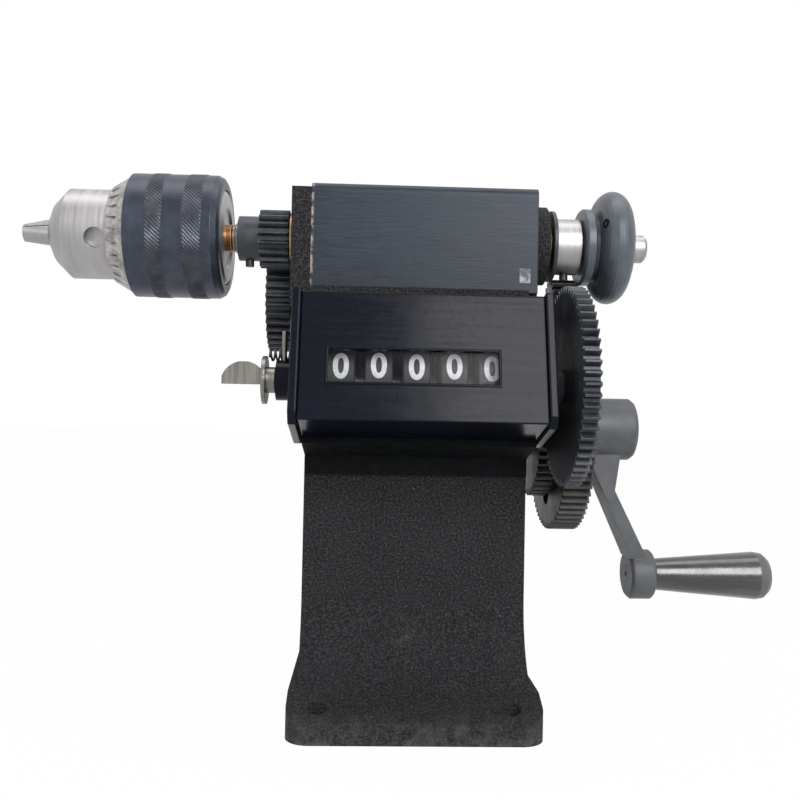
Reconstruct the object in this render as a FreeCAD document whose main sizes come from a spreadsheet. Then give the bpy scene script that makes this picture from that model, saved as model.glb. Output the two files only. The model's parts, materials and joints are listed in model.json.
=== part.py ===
import FreeCAD, Part
import math
import os
import Sketcher

# Hand-cranked bench machine that winds wire coils. One iron casting carries a spindle with a key
# chuck, a layshaft, a crank shaft and a revolution counter with five number wheels.
# Millimetres, +Z up, +X along the spindle away from the chuck, -Y is the operator's side.
# The origin is the middle of the foot's underside, below the spindle.

App = FreeCAD
Vector = App.Vector
doc = App.newDocument("winder")
sheet = doc.addObject("Spreadsheet::Sheet", "Sizes")

# Driving dimensions, one row each: the alias and its value in millimetres, degrees or teeth.
SIZES = dict(
    # Casting
    foot_width=76.0, foot_front=49.5, foot_back=46.0, foot_edge=6.5, foot_root=11.8,
    foot_corner=7.0, bolt_spacing_wide=57.0, bolt_spacing_deep=84.0, bolts_ahead=1.3, bolt_hole_radius=2.75,
    column_width=71.0, column_front=22.0, column_back=36.0, column_wall=6.0, flare_out=14.0,
    flare_up=25.0, head_drop=18.7, head_deck=6.0, head_left=42.0, head_wall=6.5, head_front=15.5,
    head_back=33.0, head_above=16.6, head_end_drop=1.8, boss_radius=13.4,
    boss_end=44.4,
    lay_boss_radius=8.5, lay_boss_length=3.5, lay_clearance=0.6, crank_boss_radius=10.5, crank_boss_length=6.0,
    # Shaft places and gear train
    spindle_height=155.0, shafts_behind=20.0, counter_rise=13.2, gear_module=1.0,
    spindle_teeth=18, lay_teeth=36, lay_pinion_teeth=18, crank_teeth=72, tally_teeth=48,
    counter_teeth=60, backlash=0.24, fit_gap=0.04, side_gap=0.4,
    # Shafts and bushes
    spindle_radius=5.0, spindle_reach=17.6, layshaft_radius=3.5, crank_shaft_radius=5.0, bush_wall=1.8,
    bush_flange=1.2, shaft_nose=1.0,
    # Gears along the spindle direction
    spindle_pinion_width=10.0, spindle_hub_length=7.2, spindle_hub_radius=7.6,
    lay_gear_width=8.3, crank_gear_start=50.6, crank_gear_width=9.4, counter_gear_start=44.2,
    counter_gear_width=4.8, tally_gear_width=5.8,
    light_hole_radius=5.2, light_hole_circle=23.0, light_hole_count=8,
    # Collar, washer and pulley
    washer_radius=12.2, washer_thickness=1.2, collar_radius=9.6, collar_length=8.6,
    pulley_start=56.6, pulley_flange_radius=13.2, pulley_flange=3.2, pulley_neck_radius=11.0,
    pulley_rim_start=5.2, pulley_rim_radius=19.4, pulley_rim_width=10.8, pulley_rim_curve=6.2,
    spindle_end=79.8, spindle_stub=7.0, stub_radius=4.8, screw_radius=1.5, screw_shown=2.0,
    # Chuck, from the rear towards the jaw tips
    chuck_rear=64.8, chuck_sleeve_radius=20.8, chuck_sleeve_length=34.8, chuck_ring_length=6.6,
    chuck_ring_teeth=28, ring_gap_wide=1.15, ring_gap_narrow=0.35, ring_gap_share=0.62,
    chuck_nose_radius=15.1, chuck_nose_length=14.8, chuck_cone_length=7.0, chuck_cone_radius=5.9,
    jaw_radius=3.3, jaw_length=44.0, jaw_slope=12.0, jaw_tip_past=9.6,
    jaw_open=21.0, key_hole_radius=3.4, key_hole_share=0.74, key_hole_turn=15.0,
    chuck_disc_radius=15.8, chuck_disc=2.6, jaw_nut_radius=18.8, thread_radius=4.4,
    arbor_depth=14.0, arbor_shown=1.5, jaw_tip_radius=2.9, jaw_gap=0.2, jaw_nut_length=6.0,
    # Counter
    counter_tilt=15.0, counter_width=71.2, face_room=5.6, under_room=1.8,
    over_room=4.3, back_room=2.6, counter_wall=1.6, end_plate=2.6, end_plate_lip=0.9,
    window_width=48.8, window_height=9.8, window_drop=2.0, window_middle=2.9, wheels_middle=1.7,
    wheel_radius=16.4, wheel_width=8.2,
    wheel_pitch=11.03, counter_shaft_radius=2.5, glazing=1.0,
    boss_black_radius=6.2, boss_black_length=5.6, wing_disc_radius=7.4, wing_disc=1.2,
    wing_length=12.6, wing_height=7.0, wing_plate=1.1,
    wing_hub_radius=4.0, wing_hub_length=2.6, end_plate_back=11.0, bracket_width=70.6,
    bracket_reach=18.0, bracket_thick=2.0, bracket_leg_height=7.0,
    # Post and spring at the counter's left side
    post_radius=0.8, post_height=9.0, post_sunk=1.5, spring_radius=1.7, spring_wire=0.35, spring_turns=5,
    spring_length=7.6, spring_facets=8,
    # Crank and grip
    crank_hub_start=62.0, crank_hub_length=20.4, crank_hub_radius=11.3, crank_reach=53.3,
    crank_boss_end_radius=9.0, crank_boss_start=80.9, crank_boss_end_length=9.0, arm_depth=13.0,
    arm_thick=7.0, arm_in=3.5, grip_length=44.0, grip_small_radius=5.7, grip_big_radius=8.7, grip_dome=6.0,
    grip_pin_radius=3.0, cover_thick=1.0, cover_inset=6.5, cover_right=39.6, cover_radius=3.0,
)

# Sizes that follow others by a named clearance: the head's deck from the spindle's height, the cover
# from the head's length, and the counter's case from its number wheels.
FOLLOWS = dict(
    head_floor="spindle_height - head_drop",
    cover_left="head_left - cover_inset",
    counter_face="wheel_radius + face_room",
    counter_below="wheel_radius + under_room",
    counter_height="2 * wheel_radius + under_room + over_room",
    counter_deep="2 * wheel_radius + face_room + back_room",
)
for row, (alias, value) in enumerate(SIZES.items(), 1):
    sheet.set("A%d" % row, alias)
    sheet.set("B%d" % row, repr(value))
    sheet.setAlias("B%d" % row, alias)
doc.recompute()


def size(alias):
    """Value of one cell of the sheet."""
    return float(sheet.get(alias))


def expand(expression):
    """Turns bare aliases in a formula into references to the sheet, and followers into their formulas."""
    words, word = [], ""
    for mark in str(expression) + " ":
        if mark.isalnum() or mark == "_":
            word += mark
            continue
        if word in FOLLOWS:
            word = "(%s)" % expand(FOLLOWS[word])
        words.append("Sizes." + word if word in SIZES else word)
        words.append(mark)
        word = ""
    return "".join(words).strip()


def number(expression):
    """Numeric value of a formula written in aliases."""
    return float(sheet.evalExpression(expand(expression)))


# Formulas that several pieces share: where the shafts lie.
SPINDLE_Z = "spindle_height"
LAY_REACH = "(gear_module * (spindle_teeth + lay_teeth) / 2)"
LAY_Z = "(spindle_height - sqrt(%s * %s - shafts_behind * shafts_behind))" % (LAY_REACH, LAY_REACH)
CRANK_DROP = "(gear_module * (lay_pinion_teeth + crank_teeth) / 2)"
CRANK_Z = "(%s - %s)" % (LAY_Z, CRANK_DROP)
COUNTER_REACH = "(gear_module * (tally_teeth + counter_teeth) / 2)"
COUNTER_Y = "(shafts_behind - sqrt(%s * %s - counter_rise * counter_rise))" % (COUNTER_REACH, COUNTER_REACH)
COUNTER_Z = "(%s + counter_rise)" % CRANK_Z

ALONG_X = App.Rotation(Vector(0, 1, 0), 90)
ALONG_Z = App.Rotation()
DOWN = App.Rotation(Vector(1, 0, 0), 180)
nodes = []


def bind(obj, **formulas):
    """Ties properties to the sheet; a double underscore in a name stands for a dot."""
    for name, formula in formulas.items():
        obj.setExpression(name.replace("__", "."), expand(formula))


def place(obj, x=0, y=0, z=0, turn=ALONG_Z):
    """Puts an object at a place that is worked out from the sheet."""
    obj.Placement = App.Placement(Vector(0, 0, 0), turn)
    bind(obj, Placement__Base__x=x, Placement__Base__y=y, Placement__Base__z=z)
    return obj


def rod(name, radius, length, x=0, y=0, z=0, turn=ALONG_X):
    """Cylinder that starts at a place and runs along the turned Z direction."""
    obj = doc.addObject("Part::Cylinder", name)
    bind(obj, Radius=radius, Height=length)
    return place(obj, x, y, z, turn)


def block(name, length, width, height, x=0, y=0, z=0, turn=ALONG_Z):
    """Box from its lowest corner."""
    obj = doc.addObject("Part::Box", name)
    bind(obj, Length=length, Width=width, Height=height)
    return place(obj, x, y, z, turn)


def cut(name, base, *tools):
    """Base with the tools taken away."""
    tool = tools[0] if len(tools) == 1 else fuse(name + "_tools", *tools)
    obj = doc.addObject("Part::Cut", name)
    obj.Base, obj.Tool = base, tool
    return obj


def fuse(name, *pieces):
    """Several solids joined into one."""
    obj = doc.addObject("Part::MultiFuse", name)
    obj.Shapes = list(pieces)
    obj.Refine = True
    return obj


def common(name, *pieces):
    """What several solids share."""
    obj = doc.addObject("Part::MultiCommon", name)
    obj.Shapes = list(pieces)
    return obj


def rounded(name, base, radius, chosen):
    """Fillets those edges of a primitive that a test on their box chooses."""
    doc.recompute()
    obj = doc.addObject("Part::Fillet", name)
    obj.Base = base
    edges = enumerate(base.Shape.Edges, 1)
    obj.Edges = [(index, size(radius), size(radius)) for index, edge in edges if chosen(edge.BoundBox)]
    return obj


def upright(box):
    """True for an edge that stands along Z."""
    return box.ZLength > 1 and box.XLength < 0.01 and box.YLength < 0.01


def node(obj, label):
    """Names a finished piece and puts it on the list that is written out."""
    obj.Label = label
    nodes.append(obj)
    return obj


def plane(body, role):
    """One of a body's own origin planes or axes."""
    return [item for item in body.Origin.OriginFeatures if item.Role == role][0]


def outline(body, name, corners, role="XZ_Plane"):
    """Closed sketch with straight sides; every corner is held by two formulas."""
    sketch = body.newObject("Sketcher::SketchObject", name)
    sketch.AttachmentSupport = [(plane(body, role), "")]
    sketch.MapMode = "FlatFace"
    spots = [Vector(number(a), number(b), 0) for a, b in corners]
    count = len(spots)
    for index in range(count):
        sketch.addGeometry(Part.LineSegment(spots[index], spots[(index + 1) % count]), False)
    for index in range(count):
        sketch.addConstraint(Sketcher.Constraint("Coincident", index, 2, (index + 1) % count, 1))
    for index, (across, up) in enumerate(corners):
        for kind, formula, spot in (("X", across, spots[index].x), ("Y", up, spots[index].y)):
            held = sketch.addConstraint(Sketcher.Constraint("Distance" + kind, -1, 1, index, 1, spot))
            if isinstance(formula, str):
                sketch.setExpression("Constraints[%d]" % held, expand(formula))
    return sketch


def turned(name, corners, x=0, y=0, z=0):
    """Piece turned about its own X axis from a profile of (along, radius) corners."""
    body = doc.addObject("PartDesign::Body", name)
    profile = outline(body, name + "_profile", corners)
    revolution = body.newObject("PartDesign::Revolution", name + "_turn")
    revolution.Profile = profile
    revolution.ReferenceAxis = (profile, ["H_Axis"])
    revolution.Angle = 360.0
    body.Tip = revolution
    place(body, x, y, z)
    doc.recompute()
    return body


def padded(name, corners, length, role="XZ_Plane", middle=True, x=0, y=0, z=0):
    """Straight-sided outline padded to a length."""
    body = doc.addObject("PartDesign::Body", name)
    profile = outline(body, name + "_profile", corners, role)
    pad = body.newObject("PartDesign::Pad", name + "_pad")
    pad.Profile = profile
    pad.Midplane = middle
    bind(pad, Length=length)
    body.Tip = pad
    place(body, x, y, z)
    doc.recompute()
    return body


# Gears

def tooth_points(teeth, centre_angle):
    """Corners of a gear's outline: root, pitch and tip on each flank of each tooth."""
    module, backlash = size("gear_module"), size("backlash")
    pitch = module * teeth / 2
    base = pitch * math.cos(math.radians(20))
    root, tip = pitch - 1.25 * module, pitch + 0.95 * module

    def involute(radius):
        angle = math.acos(min(1, base / radius))
        return math.tan(angle) - angle

    half = math.pi / 2 / teeth - backlash / 2 / pitch
    widest = half + involute(pitch)
    spots = []
    for index in range(teeth):
        middle = math.radians(centre_angle) + 2 * math.pi * index / teeth
        at_tip = half + involute(pitch) - involute(tip)
        flank = [(root, widest), (pitch, half), (tip, at_tip)]
        both = [(radius, -turn) for radius, turn in flank] + [(radius, turn) for radius, turn in flank[::-1]]
        for radius, turn in both:
            spots.append(Vector(0, radius * math.cos(middle + turn), radius * math.sin(middle + turn)))
    return spots


def toothed_disc(name, teeth_alias, centre_angle, width):
    """Solid gear blank with all its teeth, its left face at the local origin."""
    spots = tooth_points(int(size(teeth_alias)), centre_angle)
    face = doc.addObject("Part::Feature", name + "_outline")
    face.Shape = Part.Face(Part.makePolygon(spots + [spots[0]]))
    solid = doc.addObject("Part::Extrusion", name + "_teeth")
    solid.Base = face
    solid.DirMode = "Custom"
    solid.Dir = Vector(1, 0, 0)
    solid.Solid = True
    bind(solid, LengthFwd=width)
    return solid


def heading(from_y, from_z, to_y, to_z):
    """Direction from one shaft to another, in degrees about +X from +Y."""
    return math.degrees(math.atan2(number(to_z) - number(from_z), number(to_y) - number(from_y)))


to_lay = heading(0, SPINDLE_Z, "shafts_behind", LAY_Z)
to_crank = heading("shafts_behind", LAY_Z, "shafts_behind", CRANK_Z)
to_counter = heading("shafts_behind", CRANK_Z, COUNTER_Y, COUNTER_Z)


def gap_towards(angle, teeth_alias):
    """Tooth angle of a gear that turns a gap towards the given direction."""
    return angle + 180 + 180 / size(teeth_alias)


# Iron casting: foot, hollow column with a flared front, and the head with its bearing walls

def make_casting():
    foot = padded("foot", [("-foot_front", 0), ("foot_back", 0), ("foot_back", "foot_edge"),
                           ("column_back", "foot_root"), ("-column_front - flare_out", "foot_root"),
                           ("-foot_front", "foot_edge")], "foot_width", "YZ_Plane")
    plan = block("foot_plan", "foot_width", "foot_front + foot_back", "foot_root + 2",
                 "-foot_width / 2", "-foot_front", -1)
    foot = common("foot_rounded", foot, rounded("foot_corners", plan, "foot_corner", upright))
    column = block("column", "column_width", "column_front + column_back", "head_floor",
                   "-column_width / 2", "-column_front", 0)
    flare_block = block("flare_block", "column_width", "flare_out", "flare_up",
                        "-column_width / 2", "-column_front - flare_out", "foot_root")
    flare_bend = "((flare_out * flare_out + flare_up * flare_up) / 2 / flare_out)"
    flare_cut = rod("flare_cut", flare_bend, "column_width + 2", "-column_width / 2 - 1",
                    "-column_front - " + flare_bend, "foot_root + flare_up")
    flare = cut("flare", flare_block, flare_cut)
    full = "spindle_height + head_above - head_floor"
    left_end = block("left_end", "head_left - cover_left", "head_front + head_back",
                     full + " + head_deck - head_end_drop", "-head_left", "-head_front",
                     "head_floor - head_deck")
    inside_width = "head_front + head_back - 2 * cover_thick"
    inside_full = full + " - cover_thick"
    left_wall = block("left_wall", "head_wall", inside_width, inside_full,
                      "-cover_left", "-head_front + cover_thick", "head_floor")
    right_wall = block("right_wall", "head_wall", inside_width, inside_full,
                       "cover_right - head_wall", "-head_front + cover_thick", "head_floor")
    deck = block("deck", "head_left + cover_right", inside_width, "head_deck",
                 "-head_left", "-head_front + cover_thick", "head_floor - head_deck")
    spindle_boss = rod("spindle_boss", "boss_radius", "boss_end - cover_right + 1", "cover_right - 1",
                       0, SPINDLE_Z)
    lay_boss = rod("lay_boss", "lay_boss_radius", "lay_boss_length + 1", "cover_right - 1",
                   "shafts_behind", LAY_Z)
    crank_boss = rod("crank_boss", "crank_boss_radius", "crank_boss_length + 1", "column_width / 2 - 1",
                     "shafts_behind", CRANK_Z)
    inner_boss = rod("inner_boss", "crank_boss_radius", "crank_boss_length",
                     "column_width / 2 - column_wall - crank_boss_length", "shafts_behind", CRANK_Z)
    solid = fuse("casting_solid", foot, column, flare, left_end, left_wall, right_wall, deck,
                 spindle_boss, lay_boss, crank_boss)
    hollow = block("hollow", "column_width - 2 * column_wall", "column_front + column_back",
                   "head_floor - head_deck - foot_root", "-column_width / 2 + column_wall",
                   "-column_front + column_wall", "foot_root")
    seat = counter_block("counter_seat", 0)
    lay_bore = "layshaft_radius + bush_wall"
    left_length, right_start = "head_left - cover_left + head_wall + 1", "cover_right - head_wall"
    bores = [
        rod("spindle_bore", "spindle_radius + bush_wall", "head_left + boss_end + 2", "-head_left - 1",
            0, SPINDLE_Z),
        rod("lay_bore_left", lay_bore, left_length, "-head_left - 1", "shafts_behind", LAY_Z),
        rod("lay_bore_right", lay_bore, "head_wall + lay_boss_length + 1", right_start, "shafts_behind", LAY_Z),
        rod("lay_groove", "layshaft_radius + lay_clearance", "head_left + cover_right", "-head_left",
            "shafts_behind", LAY_Z),
        rod("crank_bore", "crank_shaft_radius + bush_wall", "column_wall + 2 * crank_boss_length + 2",
            "column_width / 2 - column_wall - crank_boss_length - 1", "shafts_behind", CRANK_Z),
    ]
    holes = []
    for across in (-1, 1):
        for back in (-1, 1):
            holes.append(rod("bolt_hole_%d_%d" % (across + 1, back + 1), "bolt_hole_radius", "foot_root + 2",
                             "%d * bolt_spacing_wide / 2" % across,
                             "%d * bolt_spacing_deep / 2 - bolts_ahead" % back, -1, ALONG_Z))
    shell = cut("casting_shell", solid, hollow, seat)
    casting = cut("casting", fuse("casting_bossed", shell, inner_boss), *(bores + holes))
    return node(casting, "frame_casting")


def tilted(obj, y, z, x=0):
    """Places a piece in the counter's leaning frame, whose origin is its shaft."""
    lean = App.Rotation(Vector(1, 0, 0), -size("counter_tilt"))
    obj.Placement = App.Placement(Vector(0, 0, 0), lean.multiply(obj.Placement.Rotation))
    lean_y = "(%s) * cos(counter_tilt * 1 deg) + (%s) * sin(counter_tilt * 1 deg)" % (y, z)
    lean_z = "(%s) * cos(counter_tilt * 1 deg) - (%s) * sin(counter_tilt * 1 deg)" % (z, y)
    bind(obj, Placement__Base__x=x, Placement__Base__y="%s + %s" % (COUNTER_Y, lean_y),
         Placement__Base__z="%s + %s" % (COUNTER_Z, lean_z))
    return obj


def counter_block(name, inset):
    """Box of the counter's outer size, drawn in on every side."""
    obj = doc.addObject("Part::Box", name)
    bind(obj, Length="counter_width - 2 * %s" % inset, Width="counter_deep - 2 * %s" % inset,
         Height="counter_height - 2 * %s" % inset)
    return tilted(obj, "-counter_face + %s" % inset, "-counter_below + %s" % inset,
                  "-counter_width / 2 + %s" % inset)


def make_cover():
    """Sheet folded over the head: front, top and back."""
    width = "head_front + head_back"
    tall = "spindle_height + head_above - head_floor"
    length = "cover_left + cover_right"
    outer = block("cover_outer", length, width, tall, "-cover_left", "-head_front", "head_floor")
    inner = block("cover_inner", length + " + 2", width + " - 2 * cover_thick", tall + " + 1 - cover_thick",
                  "-cover_left - 1", "-head_front + cover_thick", "head_floor - 1")

    def ridge(box):
        return box.XLength > 10 and box.ZMin > number("spindle_height")

    outer = rounded("cover_rounded", outer, "cover_radius", ridge)
    return node(cut("cover", outer, inner), "head_cover")


def make_bush(label, shaft, length, x, y, z, flange_first):
    """Flanged bronze bush round a shaft, its flange outside the wall it sits in."""
    sleeve = rod(label + "_sleeve", shaft + " + bush_wall", length, x, y, z)
    start = "%s - bush_flange" % x if flange_first else "%s + %s" % (x, length)
    flange = rod(label + "_flange", shaft + " + 2 * bush_wall", "bush_flange", start, y, z)
    hole = rod(label + "_hole", shaft + " + fit_gap", "%s + 4" % length, "%s - 2" % x, y, z)
    return node(cut(label + "_bored", fuse(label + "_body", sleeve, flange), hole), label)


make_casting()
make_cover()
make_bush("spindle_bush_left", "spindle_radius", "head_left - cover_left + head_wall", "-head_left",
          0, SPINDLE_Z, True)
make_bush("spindle_bush_right", "spindle_radius", "boss_end - cover_right + head_wall",
          "cover_right - head_wall", 0, SPINDLE_Z, False)
make_bush("layshaft_bush_left", "layshaft_radius", "head_left - cover_left + head_wall", "-head_left",
          "shafts_behind", LAY_Z, True)
make_bush("layshaft_bush_right", "layshaft_radius", "lay_boss_length + head_wall", "cover_right - head_wall",
          "shafts_behind", LAY_Z, False)
make_bush("crank_bush", "crank_shaft_radius", "crank_boss_length * 2 + column_wall",
          "column_width / 2 - column_wall - crank_boss_length", "shafts_behind", CRANK_Z, False)


# Spindle and what turns with it

def make_screw(label, x, length):
    """Set screw that stands below the spindle, its tip on it."""
    shank = rod(label + "_shank", "screw_radius - fit_gap", length, x, 0,
                SPINDLE_Z + " - spindle_radius - fit_gap", DOWN)
    return node(shank, label)

def make_spindle():
    far_end = "head_left + bush_flange + spindle_reach + spindle_end"
    shaft = turned("spindle_bar", [
        (0, 0), (0, "spindle_radius"), (far_end + " - spindle_stub", "spindle_radius"),
        (far_end + " - spindle_stub", "stub_radius"), (far_end + " - shaft_nose", "stub_radius"),
        (far_end, "stub_radius - shaft_nose"), (far_end, 0)],
        "-head_left - bush_flange - spindle_reach", 0, SPINDLE_Z)
    node(shaft, "spindle")

    hub_start = "-head_left - bush_flange - side_gap - spindle_pinion_width - spindle_hub_length"
    teeth = toothed_disc("spindle_pinion", "spindle_teeth", to_lay, "spindle_pinion_width")
    place(teeth, "spindle_hub_length")
    hub = rod("pinion_hub", "spindle_hub_radius", "spindle_hub_length")
    bore = rod("pinion_bore", "spindle_radius + fit_gap", "spindle_pinion_width + spindle_hub_length + 2", -1)
    tap = rod("pinion_tap", "screw_radius", "spindle_hub_radius + 1", "spindle_hub_length / 2", 0, 0, DOWN)
    pinion = place(cut("pinion", fuse("pinion_solid", teeth, hub), bore, tap), hub_start, 0, SPINDLE_Z)
    node(pinion, "spindle_pinion")
    make_screw("pinion_set_screw", hub_start + " + spindle_hub_length / 2",
               "spindle_hub_radius - spindle_radius + screw_shown")

    washer = cut("washer_cut", rod("washer_disc", "washer_radius", "washer_thickness"),
                 rod("washer_hole", "spindle_radius + fit_gap", 4, -1))
    washer_start = "boss_end + bush_flange + side_gap"
    node(place(washer, washer_start, 0, SPINDLE_Z), "thrust_washer")

    collar_start = "(%s + washer_thickness)" % washer_start
    collar = cut("collar_cut", rod("collar_disc", "collar_radius", "collar_length"),
                 rod("collar_hole", "spindle_radius + fit_gap", "collar_length + 2", -1),
                 rod("collar_tap", "screw_radius", "collar_radius + 1", "collar_length / 2", 0, 0, DOWN))
    node(place(collar, collar_start, 0, SPINDLE_Z), "spindle_collar")
    make_screw("collar_set_screw", collar_start + " + collar_length / 2",
               "collar_radius - spindle_radius + screw_shown")

    rim_end = "pulley_rim_start + pulley_rim_width"
    rim = [("pulley_rim_start + pulley_rim_width / 2 * %.4f" % (1 - math.cos(math.radians(turn))),
            "pulley_rim_radius - pulley_rim_curve * %.4f" % (1 - math.sin(math.radians(turn))))
           for turn in range(15, 181, 15)]
    pulley = turned("pulley", [
        (0, "spindle_radius + fit_gap"), (0, "pulley_flange_radius - 0.8"), (0.8, "pulley_flange_radius"),
        ("pulley_flange", "pulley_flange_radius"), ("pulley_flange + 1", "pulley_neck_radius"),
        ("pulley_rim_start", "pulley_neck_radius")] + rim + [(rim_end, "spindle_radius + fit_gap")],
        "pulley_start", 0, SPINDLE_Z)
    node(pulley, "drive_pulley")


make_spindle()


def keyed_gear(label, teeth_alias, angle, width, start, y, z, shaft, holes=False):
    """Gear on its shaft, with round lightening holes where the real one has them."""
    teeth = toothed_disc(label, teeth_alias, angle, width)
    tools = [rod(label + "_bore", shaft + " + fit_gap", width + " + 2", -1)]
    if holes:
        for index in range(int(size("light_hole_count"))):
            turn = 2 * math.pi * index / size("light_hole_count")
            tools.append(rod("%s_light_%d" % (label, index), "light_hole_radius", width + " + 2", -1,
                             "light_hole_circle * %.6f" % math.cos(turn),
                             "light_hole_circle * %.6f" % math.sin(turn)))
    gear = cut(label + "_finished", teeth, *tools)
    return node(place(gear, start, y, z), label)


def make_layshaft():
    start = "-head_left - bush_flange - side_gap - lay_gear_width"
    end = "crank_gear_start + crank_gear_width + shaft_nose"
    bar = turned("lay_bar", [
        (0, 0), (0, "layshaft_radius - shaft_nose / 2"), ("shaft_nose / 2", "layshaft_radius"),
        ("%s - (%s) - shaft_nose" % (end, start + " - shaft_nose"), "layshaft_radius"),
        ("%s - (%s)" % (end, start + " - shaft_nose"), "layshaft_radius - shaft_nose / 2"),
        ("%s - (%s)" % (end, start + " - shaft_nose"), 0)],
        start + " - shaft_nose", "shafts_behind", LAY_Z)
    node(bar, "layshaft")
    keyed_gear("layshaft_gear", "lay_teeth", gap_towards(to_lay, "lay_teeth"), "lay_gear_width", start,
               "shafts_behind", LAY_Z, "layshaft_radius")
    keyed_gear("layshaft_pinion", "lay_pinion_teeth", to_crank, "crank_gear_width", "crank_gear_start",
               "shafts_behind", LAY_Z, "layshaft_radius")


def make_crank_train():
    start = "column_width / 2 - column_wall - crank_boss_length - bush_flange"
    shaft_length = "crank_hub_start + crank_hub_length - (%s)" % start
    bar = turned("crank_bar", [
        (0, 0), (0, "crank_shaft_radius"), (shaft_length + " - shaft_nose", "crank_shaft_radius"),
        (shaft_length, "crank_shaft_radius - shaft_nose"), (shaft_length, 0)],
        start, "shafts_behind", CRANK_Z)
    node(bar, "crank_shaft")
    keyed_gear("crank_gear", "crank_teeth", gap_towards(to_crank, "crank_teeth"), "crank_gear_width",
               "crank_gear_start", "shafts_behind", CRANK_Z, "crank_shaft_radius", holes=True)
    keyed_gear("tally_drive_gear", "tally_teeth", to_counter, "tally_gear_width",
               "counter_gear_start - (tally_gear_width - counter_gear_width) / 2",
               "shafts_behind", CRANK_Z, "crank_shaft_radius")


make_layshaft()
make_crank_train()


# Key chuck: arbor, nut, body with three sloping bores, jaws, sleeve with its toothed ring

CHUCK_FRONT = "(-chuck_rear - chuck_disc - chuck_sleeve_length - chuck_nose_length - chuck_cone_length)"


def sloping(obj, inset, sector):
    """Places a piece along a jaw's path; the path meets the chuck's axis near the jaw tips."""
    slope = App.Rotation(Vector(0, 1, 0), 90 - size("jaw_slope"))
    around = App.Rotation(Vector(1, 0, 0), 120 * sector)
    obj.Placement = App.Placement(Vector(0, 0, 0), around.multiply(slope))
    turn = math.radians(120 * sector)
    low = "(jaw_tip_radius - jaw_radius / cos(jaw_slope * 1 deg) - (%s) * tan(jaw_slope * 1 deg))" % inset
    bind(obj, Placement__Base__x="%s - jaw_tip_past - (%s)" % (CHUCK_FRONT, inset),
         Placement__Base__y="%.6f * %s" % (-math.sin(turn), low),
         Placement__Base__z="%s + %.6f * %s" % (SPINDLE_Z, math.cos(turn), low))
    return obj


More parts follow.
